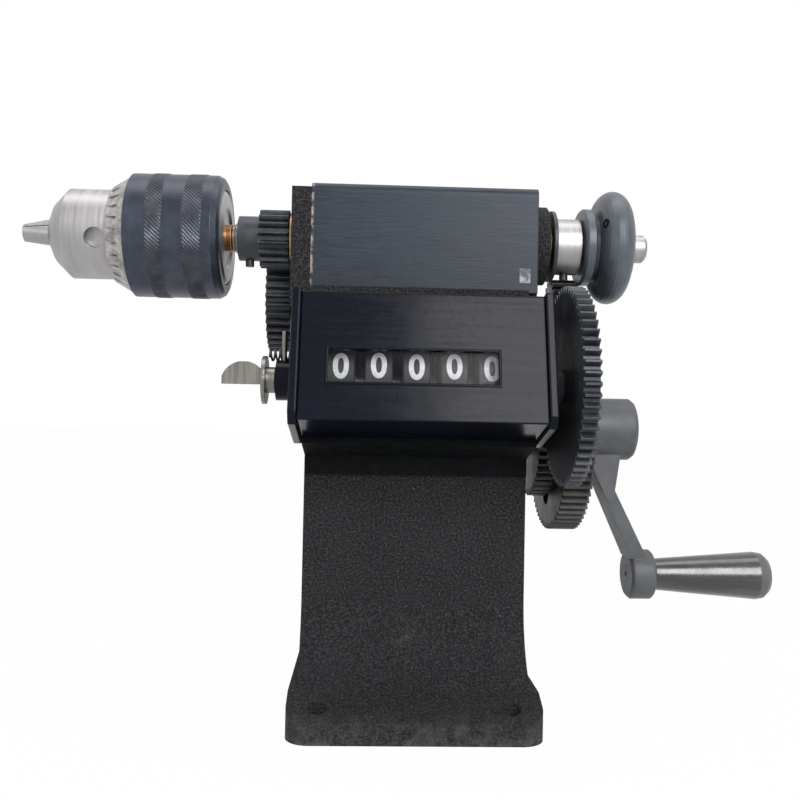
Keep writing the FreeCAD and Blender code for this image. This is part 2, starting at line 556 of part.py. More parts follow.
def make_chuck():
    nose_end = "(chuck_cone_length + chuck_nose_length)"
    back = "(%s + chuck_sleeve_length)" % nose_end
    body = turned("chuck_core", [
        (0, 0), (0, "chuck_cone_radius"), ("chuck_cone_length / 3", "chuck_nose_radius - 4.6"),
        ("chuck_cone_length", "chuck_nose_radius"),
        (back, "chuck_nose_radius"), (back, 0)], CHUCK_FRONT, 0, SPINDLE_Z)
    bores = [sloping(rod("jaw_bore_%d" % sector, "jaw_radius + 0.12", "jaw_length + jaw_open + 1"), "2", sector)
             for sector in range(3)]
    key_holes = []
    for sector in range(3):
        turn = 120 * sector + 90 + size("key_hole_turn")
        around = App.Rotation(Vector(1, 0, 0), turn)
        key_holes.append(rod("key_hole_%d" % sector, "key_hole_radius", "chuck_nose_radius + 1",
                             CHUCK_FRONT + " + chuck_cone_length + chuck_nose_length * key_hole_share",
                             "%.6f * (chuck_nose_radius - 4)" % -math.sin(math.radians(turn)),
                             SPINDLE_Z + " + %.6f * (chuck_nose_radius - 4)" % math.cos(math.radians(turn)),
                             around))
    arbor_hole = rod("arbor_hole", "thread_radius + fit_gap", "arbor_depth + 1",
                     CHUCK_FRONT + " + " + back + " - arbor_depth", 0, SPINDLE_Z)
    node(cut("chuck_body_cut", body, *(bores + key_holes + [arbor_hole])), "chuck_body")

    disc = turned("chuck_disc_turned", [
        (0, "thread_radius + fit_gap"), (0, "chuck_disc_radius"), ("chuck_disc - 0.8", "chuck_disc_radius"),
        ("chuck_disc", "chuck_disc_radius - 1.2"), ("chuck_disc", "thread_radius + 6"),
        ("chuck_disc - 0.8", "thread_radius + 5"), ("chuck_disc - 0.8", "thread_radius + fit_gap")],
        CHUCK_FRONT + " + " + back, 0, SPINDLE_Z)
    node(disc, "chuck_rear_disc")

    for sector in range(3):
        bar = sloping(rod("jaw_bar_%d" % sector, "jaw_radius", "jaw_length"), "0", sector)
        turn = math.radians(120 * sector + 90)
        reach = 3 * size("jaw_radius") + size("jaw_length")
        start = number("%s - jaw_tip_past" % CHUCK_FRONT)
        gap = size("jaw_gap")
        tip = Vector(start, gap * math.cos(turn), number(SPINDLE_Z) + gap * math.sin(turn))
        sides = [tip + Vector(0, reach * math.cos(turn + side), reach * math.sin(turn + side))
                 for side in (-math.pi / 3, math.pi / 3)]
        wedge = doc.addObject("Part::Feature", "jaw_wedge_face_%d" % sector)
        wedge.Shape = Part.Face(Part.makePolygon([tip, sides[0], sides[1], tip]))
        prism = doc.addObject("Part::Extrusion", "jaw_wedge_%d" % sector)
        prism.Base, prism.DirMode, prism.Dir, prism.Solid = wedge, "Custom", Vector(1, 0, 0), True
        bind(prism, LengthFwd="jaw_length + 10")
        node(common("jaw_%d" % (sector + 1), bar, prism), "chuck_jaw_%d" % (sector + 1))

    ring_end = "chuck_ring_length"
    sleeve_long = "(chuck_sleeve_length + chuck_disc - side_gap)"
    sleeve = turned("sleeve_turned", [
        (0, "chuck_nose_radius + 0.3"), (0, "chuck_nose_radius + 1.2"), (ring_end, "chuck_sleeve_radius - 0.6"),
        (ring_end, "chuck_sleeve_radius"), (sleeve_long + " - 2.4", "chuck_sleeve_radius"),
        (sleeve_long + " - 0.7", "chuck_sleeve_radius - 0.9"), (sleeve_long, "chuck_sleeve_radius - 2.2"),
        (sleeve_long, "chuck_disc_radius + 0.3"), (sleeve_long + " - chuck_disc", "chuck_disc_radius + 0.3"),
        (sleeve_long + " - chuck_disc", "jaw_nut_radius + 0.3"), (ring_end + " + 3", "jaw_nut_radius + 0.3"),
        (ring_end + " + 3", "chuck_nose_radius + fit_gap"), (ring_end, "chuck_nose_radius + fit_gap"),
        (ring_end, "chuck_nose_radius + 0.3")],
        CHUCK_FRONT + " + " + nose_end, 0, SPINDLE_Z)
    count = int(size("chuck_ring_teeth"))
    wide, narrow = size("ring_gap_wide"), size("ring_gap_narrow")
    deep = size("chuck_ring_length") * size("ring_gap_share")
    corners = [Vector(-0.5, wide, 0), Vector(deep, narrow, 0), Vector(deep, -narrow, 0), Vector(-0.5, -wide, 0)]
    gap_face = Part.Face(Part.makePolygon(corners + [corners[0]]))
    cutters = []
    for index in range(count):
        prism = gap_face.extrude(Vector(0, 0, size("chuck_sleeve_radius") + 2))
        prism.translate(Vector(0, 0, size("chuck_nose_radius") + 1.3))
        prism.rotate(Vector(0, 0, 0), Vector(1, 0, 0), 360.0 * (index + 0.5) / count)
        cutters.append(prism)
    teeth = doc.addObject("Part::Feature", "ring_gaps")
    teeth.Shape = Part.makeCompound(cutters)
    place(teeth, CHUCK_FRONT + " + " + nose_end, 0, SPINDLE_Z)
    whole = cut("sleeve_toothed", sleeve, teeth)
    node(whole, "chuck_sleeve")

    jaw_nut = cut("jaw_nut_cut", rod("jaw_nut_disc", "jaw_nut_radius + 0.3 - fit_gap", "jaw_nut_length"),
                  rod("jaw_nut_hole", "chuck_nose_radius + 0.3", "jaw_nut_length + 2", -1))
    node(place(jaw_nut, CHUCK_FRONT + " + " + nose_end + " + chuck_ring_length + 3", 0, SPINDLE_Z), "chuck_jaw_nut")

    arbor = rod("arbor_bar", "thread_radius", "arbor_depth + chuck_disc + arbor_shown",
                CHUCK_FRONT + " + " + back + " - arbor_depth", 0, SPINDLE_Z)
    node(arbor, "chuck_arbor")
    nut_start = CHUCK_FRONT + " + " + back + " + chuck_disc + arbor_shown"
    nut_length = "(-head_left - bush_flange - spindle_reach - (%s))" % nut_start
    nut = turned("arbor_nut_turned", [
        (0, 0), (0, "thread_radius - 0.3"), (0.5, "thread_radius + 0.2"),
        (nut_length + " * 0.5", "thread_radius + 0.2"),
        (nut_length + " * 0.5", "thread_radius - 0.4"), (nut_length + " * 0.6", "thread_radius - 0.4"),
        (nut_length + " * 0.6", "thread_radius + 0.7"), (nut_length, "thread_radius + 0.7"),
        (nut_length, 0)],
        nut_start, 0, SPINDLE_Z)
    node(nut, "arbor_nut")


make_chuck()


# Crank: hub, arm that leans outward, end boss, and a grip that turns on its own pin

def make_crank():
    hub = turned("hub_turned", [
        (0, "crank_shaft_radius + fit_gap"), (0, "crank_hub_radius - 0.6"), (0.6, "crank_hub_radius"),
        ("crank_hub_length - 2", "crank_hub_radius"), ("crank_hub_length - 0.6", "crank_hub_radius - 1"),
        ("crank_hub_length", "crank_hub_radius - 2.6"), ("crank_hub_length", "crank_shaft_radius + fit_gap")],
        "crank_hub_start", "shafts_behind", CRANK_Z)
    boss_z = CRANK_Z + " - crank_reach"
    boss = turned("crank_boss_turned", [
        (0, 0), (0, "crank_boss_end_radius - 1.2"), (1.2, "crank_boss_end_radius"),
        ("crank_boss_end_length - 0.8", "crank_boss_end_radius"),
        ("crank_boss_end_length", "crank_boss_end_radius - 0.8"), ("crank_boss_end_length", 0)],
        "crank_boss_start", "shafts_behind", boss_z)
    end = "crank_boss_start - crank_hub_start"
    arm = padded("arm", [
        ("arm_in", "-crank_hub_radius * 0.72"),
        ("crank_hub_length * 0.72", "-crank_hub_radius * 0.72"),
        ("crank_hub_length * 0.62", "-crank_hub_radius - 11"),
        (end + " + arm_thick * 0.86", "-crank_reach + crank_boss_end_radius * 0.7"),
        (end, "-crank_reach + crank_boss_end_radius * 0.7"),
        ("arm_in + 3.2", "-crank_hub_radius - 8"), ("arm_in", "-crank_hub_radius - 1")],
        "arm_depth", x="crank_hub_start", y="shafts_behind", z=CRANK_Z)
    shaft_hole = rod("crank_shaft_hole", "crank_shaft_radius + fit_gap", "crank_hub_length + 2",
                     "crank_hub_start - 1", "shafts_behind", CRANK_Z)
    pin_hole = rod("pin_hole", "grip_pin_radius + fit_gap", "crank_boss_end_length + 2", "crank_boss_start - 1",
                   "shafts_behind", boss_z)
    node(cut("crank_drilled", fuse("crank_solid", hub, boss, arm), shaft_hole, pin_hole), "crank_arm")
    grip_start = "crank_boss_start + crank_boss_end_length + side_gap"
    pin_length = "crank_boss_end_length + side_gap + grip_length * 0.7"
    pin = turned("grip_pin_turned", [
        (0, 0), (0, "grip_pin_radius"), (pin_length, "grip_pin_radius"), (pin_length, 0)],
        "crank_boss_start", "shafts_behind", boss_z)
    slot = rod("pin_socket", 1, 1.6, "crank_boss_start - 0.6", "shafts_behind", boss_z)
    node(cut("grip_pin_cut", pin, slot), "grip_pin")
    grip = turned("grip_turned", [
        (0, "grip_pin_radius + fit_gap"), (0, "grip_small_radius - 0.5"), (0.5, "grip_small_radius"),
        ("grip_length - grip_dome", "grip_big_radius"),
        ("grip_length - grip_dome * 0.55", "grip_big_radius - 0.4"),
        ("grip_length - grip_dome * 0.25", "grip_big_radius - 1.9"),
        ("grip_length - grip_dome * 0.07", "grip_big_radius - 4.3"), ("grip_length", "grip_big_radius - 7"),
        ("grip_length", 0), ("grip_length * 0.72", 0), ("grip_length * 0.72", "grip_pin_radius + fit_gap")],
        grip_start, "shafts_behind", boss_z)
    node(grip, "crank_grip")


make_crank()


# Counter: shell, end plates, glazing, five number wheels, shaft, gear, reset wing and its boss

def make_counter():
    outer = counter_block("counter_outer", 0)
    inner = counter_block("counter_inner", "counter_wall")
    window = tilted(block("window_cut", "window_width", 8, "window_height"), "-counter_face - 3",
                    "-window_drop - window_height / 2", "-window_width / 2 - window_middle")
    shaft_hole = tilted(rod("counter_hole", "counter_shaft_radius + fit_gap", "counter_width + 2"), 0, 0,
                        "-counter_width / 2 - 1")
    node(cut("counter_shell", outer, inner, window, shaft_hole), "counter_body")
    pane = tilted(block("pane", "window_width - 0.1", "glazing", "window_height - 0.1"),
                  "-counter_face + counter_wall - glazing", "-window_drop - window_height / 2 + 0.05",
                  "-window_width / 2 - window_middle + 0.05")
    node(pane, "counter_window")
    for label, start in (("counter_end_plate_left", "-counter_width / 2 - end_plate"),
                         ("counter_end_plate_right", "counter_width / 2")):
        low, high = "-counter_below - end_plate_lip", "counter_height - counter_below + end_plate_lip"
        front, back = "-counter_face - end_plate_lip", "counter_deep - counter_face - end_plate_back"
        corners = [(front, low + " + 3"), (front + " + 3", low), (back + " - 5", low), (back, low + " + 5"),
                   (back, high), (front, high)]
        plate = padded(label + "_plate", corners, "end_plate", "YZ_Plane", False)
        tilted(plate, 0, 0, start)
        hole = tilted(rod(label + "_hole", "counter_shaft_radius + fit_gap", "end_plate + 2"),
                      0, 0, start + " - 1")
        node(cut(label + "_cut", plate, hole), label)

    first = "(-wheels_middle + 2 * wheel_pitch)"
    names = ("units", "tens", "hundreds", "thousands", "ten_thousands")
    for index, name in enumerate(names):
        start = "%s - %d * wheel_pitch - wheel_width / 2" % (first, index)
        wheel = turned("wheel_" + name, [
            (0, "counter_shaft_radius + fit_gap"), (0, "wheel_radius - 0.4"), (0.4, "wheel_radius"),
            ("wheel_width - 0.4", "wheel_radius"), ("wheel_width", "wheel_radius - 0.4"),
            ("wheel_width", "wheel_radius - 2"), ("wheel_width - 1.5", "wheel_radius - 2"),
            ("wheel_width - 1.5", "counter_shaft_radius + 2"), ("wheel_width", "counter_shaft_radius + 2"),
            ("wheel_width", "counter_shaft_radius + fit_gap")], start, COUNTER_Y, COUNTER_Z)
        node(wheel, "number_wheel_" + name)

    shaft_start = "-counter_width / 2 + 1"
    shaft = rod("counter_bar", "counter_shaft_radius",
                "counter_gear_start + counter_gear_width + 1.5 - (%s)" % shaft_start,
                shaft_start, COUNTER_Y, COUNTER_Z)
    node(shaft, "counter_shaft")
    keyed_gear("counter_gear", "counter_teeth", gap_towards(to_counter, "counter_teeth"), "counter_gear_width",
               "counter_gear_start", COUNTER_Y, COUNTER_Z, "counter_shaft_radius")
    spacer = cut("spacer_cut", rod("spacer_tube", "counter_shaft_radius + 2.5",
                                   "counter_gear_start - counter_width / 2 - end_plate - side_gap"),
                 rod("spacer_hole", "counter_shaft_radius + fit_gap", 12, -1))
    node(place(spacer, "counter_width / 2 + end_plate + side_gap", COUNTER_Y, COUNTER_Z), "counter_gear_spacer")

    boss = cut("boss_cut", rod("boss_tube", "boss_black_radius", "boss_black_length"),
               rod("boss_hole", "counter_shaft_radius + fit_gap", 12, -1),
               rod("post_hole", "post_radius + fit_gap", 10, "boss_black_length * 0.4", 0,
                   "boss_black_radius - post_sunk", ALONG_Z))
    boss_start = "-counter_width / 2 - end_plate - boss_black_length"
    node(place(boss, boss_start, COUNTER_Y, COUNTER_Z), "counter_boss")
    wing_start = "(%s - side_gap - wing_hub_length - wing_disc - wing_length)" % boss_start
    stem = rod("wing_stem", "counter_shaft_radius", "wing_hub_length + side_gap + boss_black_length",
               wing_start + " + wing_length + wing_disc")
    hub = rod("wing_hub", "wing_hub_radius", "wing_hub_length", wing_start + " + wing_length + wing_disc")
    disc = rod("wing_disc_plate", "wing_disc_radius", "wing_disc", wing_start + " + wing_length")
    wing = doc.addObject("Part::Cylinder", "wing_blade_round")
    bind(wing, Radius="wing_length / 2 + 0.8", Height="wing_plate")
    place(wing, wing_start + " + wing_length / 2 + 0.4", "wing_plate / 2", "-wing_height * 0.2",
          App.Rotation(Vector(1, 0, 0), 90))
    upper = block("wing_upper", "wing_length + 1.2", "wing_plate + 2", "wing_height", wing_start,
                  "-wing_plate / 2 - 1", "-wing_height * 0.2")
    blade = common("wing_blade", wing, upper)
    whole = place(fuse("wing_solid", stem, hub, disc, blade), 0, COUNTER_Y, COUNTER_Z)
    node(whole, "reset_wing")

    lean = "counter_tilt * 1 deg"
    shelf_end = "((-column_front - %s + counter_below * sin(%s)) / cos(%s) - 0.1)" % (COUNTER_Y, lean, lean)
    under = tilted(block("bracket_shelf", "bracket_width", "bracket_reach", "bracket_thick"),
                   shelf_end + " - bracket_reach", "-counter_below - bracket_thick", "-bracket_width / 2")
    under_z = "(%s + (column_front + %s) * tan(%s) - counter_below / cos(%s))" % (
        COUNTER_Z, COUNTER_Y, lean, lean)
    leg = block("bracket_leg", "bracket_width", "bracket_thick", "bracket_leg_height",
                "-bracket_width / 2", "-column_front - bracket_thick", under_z + " - bracket_leg_height - 0.2")
    node(fuse("bracket_solid", under, leg), "counter_bracket")


make_counter()


# Nickel post above the black boss, and the small wire spring that lies behind it

def quarter(start, heading_in, end, heading_out):
    """Two arcs that join two points of a curve and keep its direction at both."""
    reach, bend = end - start, heading_in + heading_out
    a, b, c = bend.dot(bend) - 4, -2 * reach.dot(bend), reach.dot(reach)
    arm = (-b - math.sqrt(b * b - 4 * a * c)) / (2 * a)
    first, second = start + heading_in * arm, end - heading_out * arm
    joint = (first + second) * 0.5
    arcs = []
    for near, corner, far in ((start, first, joint), (joint, second, end)):
        chord = (far - near).Length / 2
        middle = (near + far) * 0.5 - corner
        spot = corner + middle.normalize() * (arm * (arm - chord) / math.sqrt(arm * arm - chord * chord))
        arcs.append(Part.Arc(near, spot, far))
    return arcs


def helix_point(turn):
    """Point and direction on the spring's line after a number of turns."""
    angle = 2 * math.pi * turn
    radius, pitch = size("spring_radius"), size("spring_length") / size("spring_turns")
    point = Vector(pitch * turn, radius * math.cos(angle), radius * math.sin(angle))
    along = Vector(pitch / 2 / math.pi, -radius * math.sin(angle), radius * math.cos(angle))
    return point, along.normalize()


def make_spring():
    wire, turns = size("spring_wire"), int(size("spring_turns"))
    spots = [helix_point(step / 4) for step in range(4 * turns + 1)]
    first, last = spots[0], spots[-1]
    path = [Part.LineSegment(first[0] - first[1] * 2 * wire, first[0])]
    for (start, into), (end, out) in zip(spots, spots[1:]):
        path += quarter(start, into, end, out)
    path.append(Part.LineSegment(last[0], last[0] + last[1] * 2 * wire))
    line = Part.Wire([piece.toShape() for piece in path])
    start = first[0] - first[1] * 2 * wire
    side = first[1].cross(Vector(1, 0, 0)).normalize()
    up = first[1].cross(side)
    faces = int(size("spring_facets"))
    rim = [start + side * (wire * math.cos(2 * math.pi * step / faces))
           + up * (wire * math.sin(2 * math.pi * step / faces)) for step in range(faces)]
    ring = Part.makePolygon(rim + [rim[0]])
    coil = doc.addObject("Part::Feature", "spring_coil")
    coil.Shape = line.makePipeShell([ring], True, False)
    samples = [helix_point(step / 24)[0] for step in range(24 * turns + 1)]
    gap = min((a - b).Length for index, a in enumerate(samples) for b in samples[index + 13:]) - 2 * wire
    print("spring gap to itself %.2f mm" % gap)
    place(coil, "-counter_width / 2 - end_plate - 2 * side_gap - spring_length",
          COUNTER_Y + " + post_radius + spring_radius + spring_wire + side_gap",
          COUNTER_Z + " + sqrt((boss_black_radius + spring_wire + spring_radius) ^ 2"
          " - (post_radius + spring_radius + spring_wire + side_gap) ^ 2) + side_gap")
    node(coil, "detent_spring")


def make_post():
    post_x = "-counter_width / 2 - end_plate - boss_black_length * 0.6"
    post = rod("post_bar", "post_radius", "post_height + post_sunk", post_x, COUNTER_Y,
               COUNTER_Z + " + boss_black_radius - post_sunk", ALONG_Z)
    node(post, "spring_post")


make_post()
make_spring()


# Checks every object, then writes each piece
doc.recompute()
for obj in doc.Objects:
    if "Invalid" in obj.State or "Error" in obj.State:
        raise RuntimeError("%s did not build: %s" % (obj.Name, obj.State))
for obj in nodes:
    if obj.Shape.isNull() or not obj.Shape.isValid() or not obj.Shape.Solids:
        raise RuntimeError("%s has no valid solid" % obj.Label)
os.makedirs("parts", exist_ok=True)
for obj in nodes:
    obj.Shape.exportStep("parts/%s.step" % obj.Label)
print("%d pieces" % len(nodes))
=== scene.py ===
import json
import math
import bmesh
import bpy
from mathutils import Matrix, Vector

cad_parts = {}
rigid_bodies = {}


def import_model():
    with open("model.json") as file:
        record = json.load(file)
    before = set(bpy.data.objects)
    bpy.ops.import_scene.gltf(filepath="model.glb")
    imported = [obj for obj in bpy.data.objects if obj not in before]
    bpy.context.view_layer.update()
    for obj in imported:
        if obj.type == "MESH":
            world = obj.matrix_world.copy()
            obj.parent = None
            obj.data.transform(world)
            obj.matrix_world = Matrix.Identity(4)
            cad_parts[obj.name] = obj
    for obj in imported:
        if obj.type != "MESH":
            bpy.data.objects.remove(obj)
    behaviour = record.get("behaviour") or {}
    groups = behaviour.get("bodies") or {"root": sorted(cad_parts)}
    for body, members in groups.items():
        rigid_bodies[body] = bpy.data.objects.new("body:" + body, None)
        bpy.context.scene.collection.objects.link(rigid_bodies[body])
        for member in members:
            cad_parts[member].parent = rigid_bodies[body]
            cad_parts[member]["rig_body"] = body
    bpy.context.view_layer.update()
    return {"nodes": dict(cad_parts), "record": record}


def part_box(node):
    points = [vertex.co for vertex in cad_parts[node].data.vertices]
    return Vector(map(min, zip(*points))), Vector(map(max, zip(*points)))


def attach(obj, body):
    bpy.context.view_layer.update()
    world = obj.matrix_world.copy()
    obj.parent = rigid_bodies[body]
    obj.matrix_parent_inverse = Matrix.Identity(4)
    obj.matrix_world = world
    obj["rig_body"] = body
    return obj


# Looks of the hand-cranked coil winder: finishes for every CAD piece, and the small details that
# ride on them. Metres, +Z up, +X along the spindle away from the chuck, -Y is the operator's side.

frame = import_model()
NODES = frame["nodes"]
MM = 0.001


def middle(node):
    """Middle of a CAD node's box."""
    low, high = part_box(node)
    return (low + high) / 2


SPINDLE = middle("spindle")
COUNTER = middle("counter_shaft")
SLEEVE_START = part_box("chuck_sleeve")[0].x

# The counter leans back: FACE is the way its window looks, RISE the way up along it
LEAN = math.radians(15)
FACE = Vector((0, -math.cos(LEAN), math.sin(LEAN)))
RISE = Vector((0, math.sin(LEAN), math.cos(LEAN)))

# Places of the Mix node's colour sockets
COLOUR_A, COLOUR_B, COLOUR_OUT = 6, 7, 2


# Finishes

class Finish:
    """One node material; its methods add nodes and return their output sockets."""

    def __init__(self, name, **fixed):
        self.material = bpy.data.materials.new(name + "_finish")
        self.material.use_nodes = True
        self.tree = self.material.node_tree
        self.shader = self.tree.nodes["Principled BSDF"]
        self.spot = self.add("ShaderNodeTexCoord").outputs["Object"]
        for socket, value in fixed.items():
            self.shader.inputs[socket.replace("_", " ")].default_value = value

    def add(self, kind, **settings):
        node = self.tree.nodes.new(kind)
        for key, value in settings.items():
            setattr(node, key, value)
        return node

    def feed(self, socket, value):
        """Links an output to a socket, or writes a plain number or colour into it."""
        if isinstance(value, bpy.types.NodeSocket):
            self.tree.links.new(value, socket)
        else:
            socket.default_value = value

    def give(self, **linked):
        """Feeds the shader's own sockets."""
        for socket, value in linked.items():
            self.feed(self.shader.inputs[socket.replace("_", " ")], value)

    def noise(self, scale, detail=4.0, roughness=0.55, stretch=(1, 1, 1)):
        """Cloudy noise over the piece at rest, drawn out along the axes with a small stretch."""
        mapping = self.add("ShaderNodeMapping")
        self.feed(mapping.inputs["Vector"], self.spot)
        mapping.inputs["Scale"].default_value = stretch
        node = self.add("ShaderNodeTexNoise")
        self.feed(node.inputs["Vector"], mapping.outputs["Vector"])
        for socket, value in (("Scale", scale), ("Detail", detail), ("Roughness", roughness)):
            node.inputs[socket].default_value = value
        return node.outputs["Fac"]

    def cells(self, scale):
        """Distance to the nearest of many scattered points."""
        node = self.add("ShaderNodeTexVoronoi")
        self.feed(node.inputs["Vector"], self.spot)
        node.inputs["Scale"].default_value = scale
        return node.outputs["Distance"]

    def along(self, letter):
        """One coordinate of the piece at rest, in metres."""
        node = self.add("ShaderNodeSeparateXYZ")
        self.feed(node.inputs["Vector"], self.spot)
        return node.outputs[letter]

    def math(self, operation, first, second):
        node = self.add("ShaderNodeMath", operation=operation)
        self.feed(node.inputs[0], first)
        self.feed(node.inputs[1], second)
        return node.outputs[0]

    def remap(self, value, low, high, to_low=0.0, to_high=1.0):
        """Linear step from one range to another, held at its ends."""
        node = self.add("ShaderNodeMapRange", clamp=True)
        for index, entry in enumerate((value, low, high, to_low, to_high)):
            self.feed(node.inputs[index], entry)
        return node.outputs[0]

    def spread(self, noise, low, high):
        """Values from low to high over the range that a noise mostly takes."""
        return self.remap(noise, 0.3, 0.7, low, high)

    def band(self, value, low, high, soft):
        """One between two values, nought outside, with soft edges."""
        rise = self.remap(value, low - soft, low + soft)
        fall = self.remap(value, high - soft, high + soft, 1.0, 0.0)
        return self.math("MULTIPLY", rise, fall)

    def near(self, point, radius, soft):
        """One within a radius of a point, nought further off."""
        node = self.add("ShaderNodeVectorMath", operation="DISTANCE")
        self.feed(node.inputs[0], self.spot)
        node.inputs[1].default_value = point
        return self.remap(node.outputs["Value"], radius - soft, radius + soft, 1.0, 0.0)

    def mix(self, share, first, second):
        """Colour between two, each an output or three plain values."""
        node = self.add("ShaderNodeMix", data_type="RGBA")
        self.feed(node.inputs["Factor"], share)
        for place, value in ((COLOUR_A, first), (COLOUR_B, second)):
            plain = not isinstance(value, bpy.types.NodeSocket)
            self.feed(node.inputs[place], (*value, 1.0) if plain else value)
        return node.outputs[COLOUR_OUT]

    def clouded(self, clouds, dark, light):
        """Two tones that drift into each other."""
        return self.mix(self.remap(clouds, 0.35, 0.66), dark, light)

    def softened(self, radius):
        """The piece's normal, with its edges rounded by a radius."""
        bevel = self.add("ShaderNodeBevel", samples=4)
        bevel.inputs["Radius"].default_value = radius
        return bevel.outputs["Normal"]

    def worn(self, width, share):
        """Mask of the rubbed edges, where rounding turns the normal, broken up by noise."""
        node = self.add("ShaderNodeVectorMath", operation="DOT_PRODUCT")
        self.feed(node.inputs[0], self.softened(width))
        self.feed(node.inputs[1], self.add("ShaderNodeNewGeometry").outputs["Normal"])
        edges = self.remap(node.outputs["Value"], 0.90, 0.99, share, 0.0)
        return self.math("MULTIPLY", edges, self.remap(self.noise(420), 0.42, 0.62))

    def relief(self, layers, edge):
        """Bump from (height, depth) layers over softened edges; ends a finish."""
        normal = self.softened(edge)
        for height, depth in layers:
            node = self.add("ShaderNodeBump")
            node.inputs["Distance"].default_value = depth
            self.feed(node.inputs["Height"], height)
            self.feed(node.inputs["Normal"], normal)
            normal = node.outputs["Normal"]
        self.give(Normal=normal)
        return self.material


def brighter(colour, times):
    return tuple(min(1.0, times * part) for part in colour)


# Heights between which the foot's dust fades out, and a pale smudge low on the column's front
DUST_FROM, DUST_TO = 1 * MM, 9 * MM
SMUDGE = Vector((-3.9, -22, 23.6)) * MM
SMUDGE_RADIUS, SMUDGE_SOFT = 3.2 * MM, 2.6 * MM


def cast_iron():
    """Sand-cast iron under thin black paint: grainy, pitted, dusty towards the foot."""
    iron = Finish("cast_iron", Specular_IOR_Level=0.32)
    grain, pits, waves = iron.noise(1500, 6, 0.75), iron.cells(1100), iron.noise(60, 5, 0.6)
    base = iron.mix(iron.remap(waves, 0.35, 0.68), (0.002, 0.002, 0.004), (0.008, 0.0075, 0.0100))
    base = iron.mix(iron.remap(grain, 0.46, 0.64, 0.0, 0.85), base, (0.090, 0.084, 0.091))
    dust = iron.math("MULTIPLY", iron.remap(iron.along("Z"), DUST_FROM, DUST_TO, 1.0, 0.0),
                     iron.remap(iron.noise(230, 6, 0.7), 0.40, 0.66, 0.0, 0.7))
    base = iron.mix(dust, base, (0.155, 0.145, 0.140))
    smudge = iron.math("MULTIPLY", iron.near(SMUDGE, SMUDGE_RADIUS, SMUDGE_SOFT),
                       iron.remap(iron.noise(520, 4, 0.7), 0.46, 0.60, 0.0, 0.4))
    base = iron.mix(smudge, base, (0.17, 0.155, 0.145))
    flecks = iron.math("LESS_THAN", iron.cells(260), 0.055)
    base = iron.mix(iron.math("MULTIPLY", flecks, 0.3), base, (0.30, 0.29, 0.28))
    iron.give(Base_Color=base, Roughness=iron.spread(grain, 0.62, 0.92))
    return iron.relief([(waves, 1.1 * MM), (grain, 1.0 * MM), (pits, 0.5 * MM)], 0.7 * MM)


# The cover's left edge, where its side face is painted light as if lit, and a patch of painted
# reflection at the lower right of its front
LIT_SIDE_WIDTH, LIT_SIDE_SOFT = 0.7 * MM, 0.3 * MM
GLARE_LEFT, GLARE_RIGHT = 33.6 * MM, 37.1 * MM
GLARE_FOOT, GLARE_TOP = 139.7 * MM, 144.4 * MM
GLARE_BEHIND = -15.1 * MM
GLARE_SOFT = 0.15 * MM


def black_sheet():
    """Black sheet with long brush streaks; its left side face is painted light, and one patch is a
    painted reflection.
    """
    sheet = Finish("black_sheet", Specular_IOR_Level=0.24)
    streaks = sheet.noise(2600, 4, 0.65, (0.05, 1, 1))
    blotches = sheet.noise(46, 3, 0.5, (0.5, 1, 1))
    base = sheet.mix(sheet.remap(streaks, 0.25, 0.80), (0.004, 0.008, 0.016), (0.030, 0.041, 0.062))
    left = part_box("head_cover")[0].x
    # Painted light: a pale band over the cover's left side face, as if lit there, broken up by noise
    edge = sheet.math("MULTIPLY",
                      sheet.band(sheet.along("X"), left - 1 * MM, left + LIT_SIDE_WIDTH, LIT_SIDE_SOFT),
                      sheet.remap(sheet.noise(330, 5, 0.7), 0.44, 0.56, 0.0, 0.9))
    base = sheet.mix(edge, base, (0.42, 0.35, 0.33))
    # Painted reflection: a pale patch of glare on the front face at the lower right, broken up by
    # noise
    front = sheet.remap(sheet.along("Y"), GLARE_BEHIND - 0.2 * MM, GLARE_BEHIND, 1.0, 0.0)
    painted_glare = sheet.math("MULTIPLY",
                       sheet.band(sheet.along("X"), GLARE_LEFT, GLARE_RIGHT, GLARE_SOFT),
                       sheet.band(sheet.along("Z"), GLARE_FOOT, GLARE_TOP, GLARE_SOFT))
    for part in (front, sheet.remap(sheet.noise(420, 3, 0.6), 0.42, 0.56, 0.15, 0.8)):
        painted_glare = sheet.math("MULTIPLY", painted_glare, part)
    base = sheet.mix(painted_glare, base, (0.52, 0.51, 0.53))
    sheet.give(Base_Color=base, Roughness=sheet.spread(streaks, 0.30, 0.46))
    return sheet.relief([(blotches, 0.25 * MM), (streaks, 0.05 * MM)], 0.5 * MM)


def lathe_metal(name, dark, light, rough, grime):
    """Turned metal: fine rings across X, broad clouding and spots of grime."""
    metal = Finish(name, Metallic=1.0)
    rings = metal.noise(900, 3, 0.7, (1, 0.04, 0.04))
    clouds = metal.noise(60, 3, 0.5)
    share = metal.math("MULTIPLY", metal.remap(rings, 0.3, 0.7), metal.remap(clouds, 0.2, 0.7))
    spots = metal.remap(metal.noise(480, 6, 0.75), 0.58, 0.74, 0.0, grime)
    base = metal.mix(spots, metal.mix(share, dark, light), (0.10, 0.08, 0.06))
    metal.give(Base_Color=base, Roughness=metal.spread(rings, rough - 0.07, rough + 0.09))
    return metal.relief([(rings, 0.02 * MM)], 0.25 * MM)


def oiled_steel(name, dark, light, rough, shine):
    """Dark machined steel with a thin oil film and brighter rubbed corners."""
    steel = Finish(name, Metallic=shine, Specular_IOR_Level=0.5)
    rings = steel.noise(700, 3, 0.65, (1, 0.15, 0.15))
    clouds = steel.noise(180, 6, 0.7)
    base = steel.mix(steel.remap(clouds, 0.35, 0.68), dark, light)
    base = steel.mix(steel.worn(0.25 * MM, 0.6), base, brighter(light, 4))
    steel.give(Base_Color=base, Roughness=steel.spread(clouds, rough - 0.08, rough + 0.12))
    return steel.relief([(rings, 0.05 * MM), (clouds, 0.12 * MM)], 0.2 * MM)


